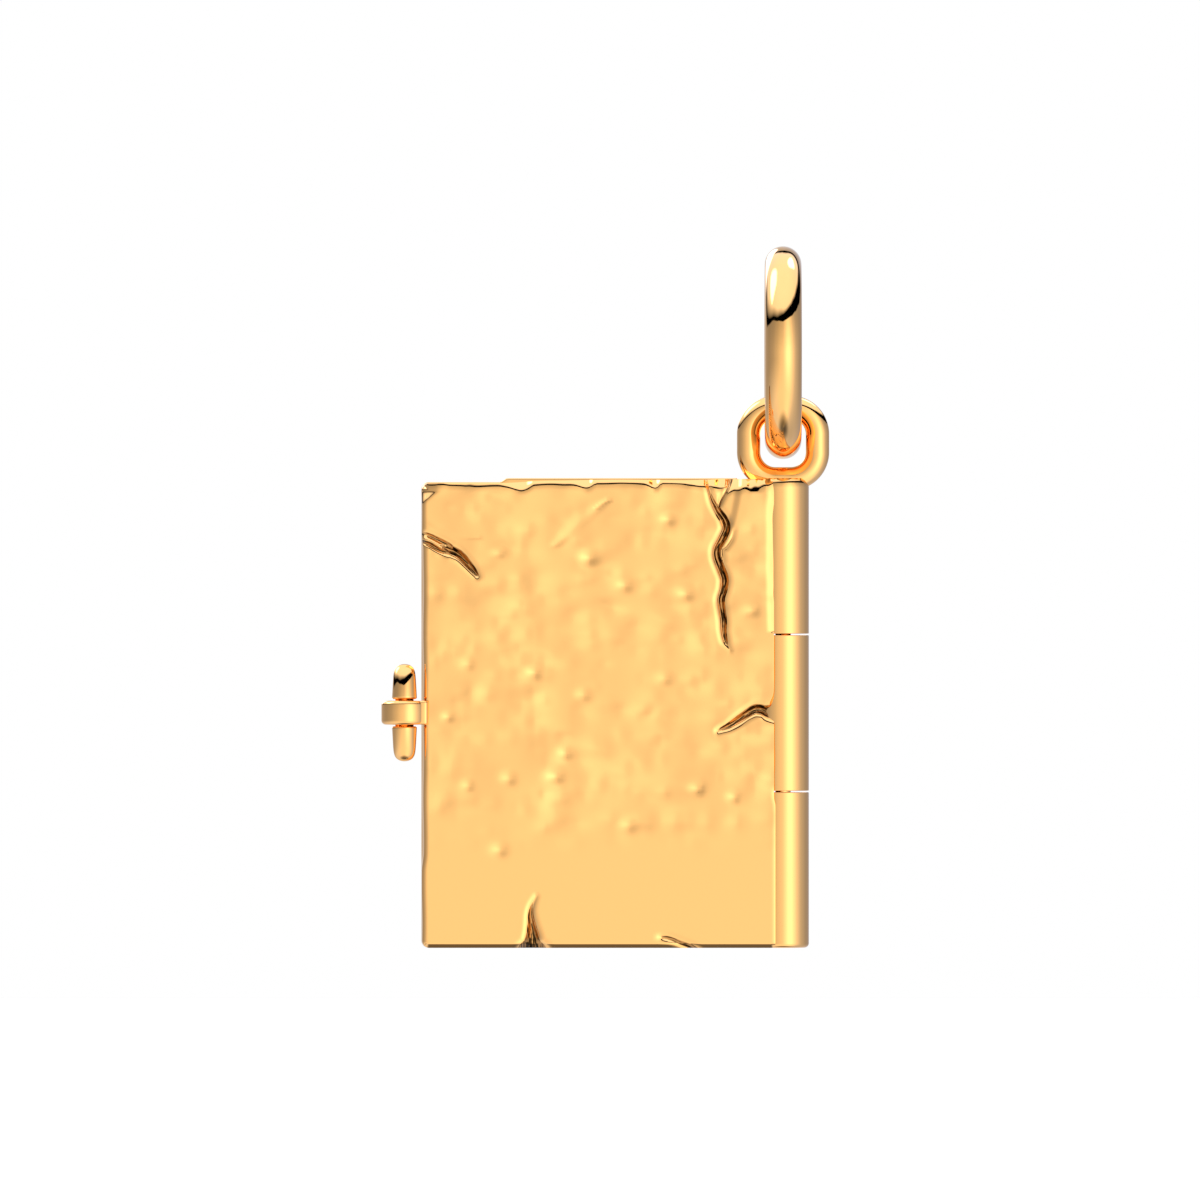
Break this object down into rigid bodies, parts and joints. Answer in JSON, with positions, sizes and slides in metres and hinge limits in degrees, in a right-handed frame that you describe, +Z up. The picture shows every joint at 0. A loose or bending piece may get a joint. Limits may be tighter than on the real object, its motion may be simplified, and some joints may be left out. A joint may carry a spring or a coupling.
{
  "type": "book charm locket pendant",
  "caption": "Closed book-shaped gold locket charm with worn covers, barrel hinge, fore-edge clasp, soldered bail and a plain round ring.",
  "frame": {"origin": "top of the ring's hole, where a chain or bracelet link carries the charm", "axes": "+Z up along the hanging charm, -Y out of the back cover, +X towards the hinge; the ring's hole runs along X"},
  "size_m": [0.0145, 0.007, 0.0228],
  "materials": {
    "polished_gold": "polished"
  },
  "bodies": {
    "ring": {"charm_ring": "polished_gold"},
    "book": {"back_cover": "polished_gold", "hinge_pin": "polished_gold"},
    "front": {"front_cover": "polished_gold"}
  },
  "joints": [
    {"name": "swing", "type": "hinge", "parent": "ring", "child": "book", "pos_m": [0, 0, -0.00404], "axis": [1, 0, 0], "range_deg": [-30, 30]},
    {"name": "cover_hinge", "type": "hinge", "parent": "book", "child": "front", "pos_m": [0, 0, -0.01397], "axis": [0, 0, -1], "range_deg": [0, 180]}
  ]
}
